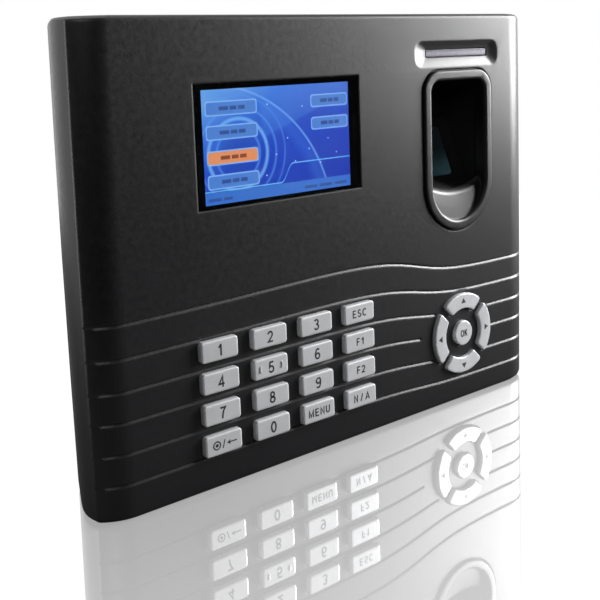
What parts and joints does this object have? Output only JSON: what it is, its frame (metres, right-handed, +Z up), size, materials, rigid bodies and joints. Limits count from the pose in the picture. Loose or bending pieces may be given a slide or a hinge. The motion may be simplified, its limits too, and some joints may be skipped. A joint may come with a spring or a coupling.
{
  "type": "fingerprint scanner terminal",
  "caption": "Wall-mounted terminal with a colour display, number keypad, navigation ring, finger well with sensor and a light bar, on a steel wall plate.",
  "frame": {"origin": "centre of the housing's height and width on the wall plate's back face", "axes": "+Y into the wall, +X to the right as the user sees the front, +Z up"},
  "size_m": [0.2054, 0.0398, 0.1561],
  "materials": {
    "charcoal": "fine matte texture, near black",
    "gloss_black": "polished black",
    "inner_black": "matte black",
    "key_silver": "satin silver paint",
    "plate_steel": "zinc plated sheet",
    "screw_steel": "bright plated steel",
    "display_glass": "clear polished",
    "lcd": "lit colour display",
    "sensor_glass": "polished, faint teal tint",
    "light_guide": "smoked translucent",
    "circuit_board": "solder mask",
    "rubber": "silicone rubber",
    "terminal_green": "moulded green",
    "battery_wrap": "shrink film"
  },
  "bodies": {
    "terminal": {"front_cover": "charcoal", "rear_case": "charcoal", "wall_plate": "plate_steel", "display_lens": "display_glass", "lcd_panel": "lcd", "display_bracket": "plate_steel", "fingerprint_bezel": "charcoal", "finger_guide": "inner_black", "sensor_glass": "sensor_glass", "sensor_module": "inner_black", "indicator_light_guide": "light_guide", "indicator_board": "circuit_board", "keypad_mat": "rubber", "nav_mat": "rubber", "keypad_board": "circuit_board", "main_board": "circuit_board", "terminal_block": "terminal_green", "usb_socket": "screw_steel", "network_socket": "screw_steel", "speaker": "inner_black", "backup_battery": "battery_wrap", "tamper_switch": "inner_black", "plate_lock_screw": "screw_steel", "case_screw_1": "screw_steel", "board_screw_1": "screw_steel", "case_screw_2": "screw_steel", "board_screw_2": "screw_steel", "case_screw_3": "screw_steel", "board_screw_3": "screw_steel", "case_screw_4": "screw_steel", "board_screw_4": "screw_steel"},
    "key_1": {"key_1": "key_silver"},
    "key_2": {"key_2": "key_silver"},
    "key_3": {"key_3": "key_silver"},
    "key_esc": {"key_esc": "key_silver"},
    "key_4": {"key_4": "key_silver"},
    "key_5": {"key_5": "key_silver"},
    "key_6": {"key_6": "key_silver"},
    "key_f1": {"key_f1": "key_silver"},
    "key_7": {"key_7": "key_silver"},
    "key_8": {"key_8": "key_silver"},
    "key_9": {"key_9": "key_silver"},
    "key_f2": {"key_f2": "key_silver"},
    "key_power": {"key_power": "key_silver"},
    "key_0": {"key_0": "key_silver"},
    "key_menu": {"key_menu": "key_silver"},
    "key_na": {"key_na": "key_silver"},
    "nav_up": {"nav_up": "key_silver"},
    "nav_right": {"nav_right": "key_silver"},
    "nav_down": {"nav_down": "key_silver"},
    "nav_left": {"nav_left": "key_silver"},
    "nav_ok": {"nav_ok": "key_silver"},
    "tamper_plunger": {"tamper_plunger": "gloss_black"}
  },
  "joints": [
    {"name": "key_1_press", "type": "slide", "parent": "terminal", "child": "key_1", "axis": [0, 1, 0], "range_m": [0, 0.0009], "stiffness_N_per_m": 900},
    {"name": "key_2_press", "type": "slide", "parent": "terminal", "child": "key_2", "axis": [0, 1, 0], "range_m": [0, 0.0009], "stiffness_N_per_m": 900},
    {"name": "key_3_press", "type": "slide", "parent": "terminal", "child": "key_3", "axis": [0, 1, 0], "range_m": [0, 0.0009], "stiffness_N_per_m": 900},
    {"name": "key_esc_press", "type": "slide", "parent": "terminal", "child": "key_esc", "axis": [0, 1, 0], "range_m": [0, 0.0009], "stiffness_N_per_m": 900},
    {"name": "key_4_press", "type": "slide", "parent": "terminal", "child": "key_4", "axis": [0, 1, 0], "range_m": [0, 0.0009], "stiffness_N_per_m": 900},
    {"name": "key_5_press", "type": "slide", "parent": "terminal", "child": "key_5", "axis": [0, 1, 0], "range_m": [0, 0.0009], "stiffness_N_per_m": 900},
    {"name": "key_6_press", "type": "slide", "parent": "terminal", "child": "key_6", "axis": [0, 1, 0], "range_m": [0, 0.0009], "stiffness_N_per_m": 900},
    {"name": "key_f1_press", "type": "slide", "parent": "terminal", "child": "key_f1", "axis": [0, 1, 0], "range_m": [0, 0.0009], "stiffness_N_per_m": 900},
    {"name": "key_7_press", "type": "slide", "parent": "terminal", "child": "key_7", "axis": [0, 1, 0], "range_m": [0, 0.0009], "stiffness_N_per_m": 900},
    {"name": "key_8_press", "type": "slide", "parent": "terminal", "child": "key_8", "axis": [0, 1, 0], "range_m": [0, 0.0009], "stiffness_N_per_m": 900},
    {"name": "key_9_press", "type": "slide", "parent": "terminal", "child": "key_9", "axis": [0, 1, 0], "range_m": [0, 0.0009], "stiffness_N_per_m": 900},
    {"name": "key_f2_press", "type": "slide", "parent": "terminal", "child": "key_f2", "axis": [0, 1, 0], "range_m": [0, 0.0009], "stiffness_N_per_m": 900},
    {"name": "key_power_press", "type": "slide", "parent": "terminal", "child": "key_power", "axis": [0, 1, 0], "range_m": [0, 0.0009], "stiffness_N_per_m": 900},
    {"name": "key_0_press", "type": "slide", "parent": "terminal", "child": "key_0", "axis": [0, 1, 0], "range_m": [0, 0.0009], "stiffness_N_per_m": 900},
    {"name": "key_menu_press", "type": "slide", "parent": "terminal", "child": "key_menu", "axis": [0, 1, 0], "range_m": [0, 0.0009], "stiffness_N_per_m": 900},
    {"name": "key_na_press", "type": "slide", "parent": "terminal", "child": "key_na", "axis": [0, 1, 0], "range_m": [0, 0.0009], "stiffness_N_per_m": 900},
    {"name": "nav_up_press", "type": "slide", "parent": "terminal", "child": "nav_up", "axis": [0, 1, 0], "range_m": [0, 0.0009], "stiffness_N_per_m": 900},
    {"name": "nav_right_press", "type": "slide", "parent": "terminal", "child": "nav_right", "axis": [0, 1, 0], "range_m": [0, 0.0009], "stiffness_N_per_m": 900},
    {"name": "nav_down_press", "type": "slide", "parent": "terminal", "child": "nav_down", "axis": [0, 1, 0], "range_m": [0, 0.0009], "stiffness_N_per_m": 900},
    {"name": "nav_left_press", "type": "slide", "parent": "terminal", "child": "nav_left", "axis": [0, 1, 0], "range_m": [0, 0.0009], "stiffness_N_per_m": 900},
    {"name": "nav_ok_press", "type": "slide", "parent": "terminal", "child": "nav_ok", "axis": [0, 1, 0], "range_m": [0, 0.0009], "stiffness_N_per_m": 900},
    {"name": "tamper_plunger_slide", "type": "slide", "parent": "terminal", "child": "tamper_plunger", "axis": [0, 1, 0], "range_m": [-0.0012, 0], "stiffness_N_per_m": 200, "springref_m": 0.001}
  ]
}
